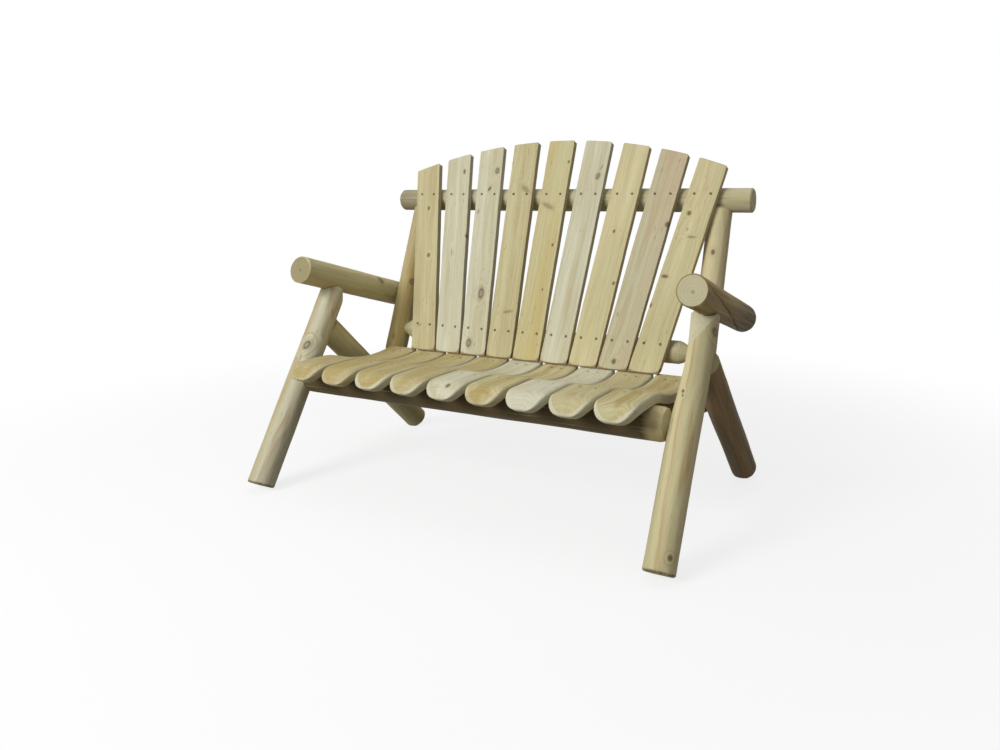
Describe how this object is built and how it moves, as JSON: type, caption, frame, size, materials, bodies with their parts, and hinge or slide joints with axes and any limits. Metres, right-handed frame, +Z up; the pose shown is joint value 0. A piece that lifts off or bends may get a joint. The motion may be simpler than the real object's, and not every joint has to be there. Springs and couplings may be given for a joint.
{
  "type": "log loveseat",
  "caption": "Rustic two-seat garden bench of peeled cedar logs: crossed log legs, log arms, a fanned board back with an arched top, and a seat of dished boards with rolled fronts.",
  "frame": {"origin": "on the ground, under the middle of the bench's outline", "axes": "+Z up; +X to the viewer's right, seen from the front; +Y to the back, so the seat faces -Y"},
  "size_m": [1.27, 0.7622, 0.9906],
  "materials": {
    "arm_left": "peeled or planed raw cedar, matt",
    "arm_right": "peeled or planed raw cedar, matt",
    "back_post_left": "peeled or planed raw cedar, matt",
    "back_post_right": "peeled or planed raw cedar, matt",
    "back_slat_1": "peeled or planed raw cedar, matt",
    "back_slat_2": "peeled or planed raw cedar, matt",
    "back_slat_3": "peeled or planed raw cedar, matt",
    "back_slat_4": "peeled or planed raw cedar, matt",
    "back_slat_5": "peeled or planed raw cedar, matt",
    "back_slat_6": "peeled or planed raw cedar, matt",
    "back_slat_7": "peeled or planed raw cedar, matt",
    "back_slat_8": "peeled or planed raw cedar, matt",
    "back_slat_9": "peeled or planed raw cedar, matt",
    "front_leg_left": "peeled or planed raw cedar, matt",
    "front_leg_right": "peeled or planed raw cedar, matt",
    "front_seat_rail": "peeled or planed raw cedar, matt",
    "lower_back_rail": "peeled or planed raw cedar, matt",
    "rear_leg_left": "peeled or planed raw cedar, matt",
    "rear_leg_right": "peeled or planed raw cedar, matt",
    "rear_seat_rail": "peeled or planed raw cedar, matt",
    "seat_slat_1": "peeled or planed raw cedar, matt",
    "seat_slat_2": "peeled or planed raw cedar, matt",
    "seat_slat_3": "peeled or planed raw cedar, matt",
    "seat_slat_4": "peeled or planed raw cedar, matt",
    "seat_slat_5": "peeled or planed raw cedar, matt",
    "seat_slat_6": "peeled or planed raw cedar, matt",
    "seat_slat_7": "peeled or planed raw cedar, matt",
    "seat_slat_8": "peeled or planed raw cedar, matt",
    "seat_slat_9": "peeled or planed raw cedar, matt",
    "upper_back_rail": "peeled or planed raw cedar, matt",
    "fasteners": "zinc-plated steel, weathered"
  },
  "bodies": {
    "root": {"arm_dowel_screw_left": "fasteners", "arm_dowel_screw_right": "fasteners", "arm_lag_screw_left": "fasteners", "arm_lag_screw_right": "fasteners", "arm_lag_washer_left": "fasteners", "arm_lag_washer_right": "fasteners", "arm_left": "arm_left", "arm_right": "arm_right", "back_post_left": "back_post_left", "back_post_right": "back_post_right", "back_slat_1": "back_slat_1", "back_slat_1_lower_screw_left": "fasteners", "back_slat_1_lower_screw_right": "fasteners", "back_slat_1_upper_screw_left": "fasteners", "back_slat_1_upper_screw_right": "fasteners", "back_slat_2": "back_slat_2", "back_slat_3": "back_slat_3", "back_slat_4": "back_slat_4", "back_slat_5": "back_slat_5", "back_slat_6": "back_slat_6", "back_slat_7": "back_slat_7", "back_slat_8": "back_slat_8", "back_slat_9": "back_slat_9", "back_slat_9_lower_screw_left": "fasteners", "back_slat_9_lower_screw_right": "fasteners", "back_slat_9_upper_screw_left": "fasteners", "back_slat_9_upper_screw_right": "fasteners", "front_leg_left": "front_leg_left", "front_leg_right": "front_leg_right", "front_seat_rail": "front_seat_rail", "leg_dowel_screw_left": "fasteners", "leg_dowel_screw_right": "fasteners", "lower_back_rail": "lower_back_rail", "post_dowel_screw_left": "fasteners", "post_dowel_screw_right": "fasteners", "post_lag_screw_left": "fasteners", "post_lag_screw_right": "fasteners", "post_lag_washer_left": "fasteners", "post_lag_washer_right": "fasteners", "rear_leg_left": "rear_leg_left", "rear_leg_right": "rear_leg_right", "rear_seat_rail": "rear_seat_rail", "seat_slat_1": "seat_slat_1", "seat_slat_1_front_screw_left": "fasteners", "seat_slat_1_front_screw_right": "fasteners", "seat_slat_1_rear_screw_left": "fasteners", "seat_slat_1_rear_screw_right": "fasteners", "seat_slat_2": "seat_slat_2", "seat_slat_3": "seat_slat_3", "seat_slat_4": "seat_slat_4", "seat_slat_5": "seat_slat_5", "seat_slat_6": "seat_slat_6", "seat_slat_7": "seat_slat_7", "seat_slat_8": "seat_slat_8", "seat_slat_9": "seat_slat_9", "seat_slat_9_front_screw_left": "fasteners", "seat_slat_9_front_screw_right": "fasteners", "seat_slat_9_rear_screw_left": "fasteners", "seat_slat_9_rear_screw_right": "fasteners", "upper_back_rail": "upper_back_rail"}
  },
  "joints": []
}
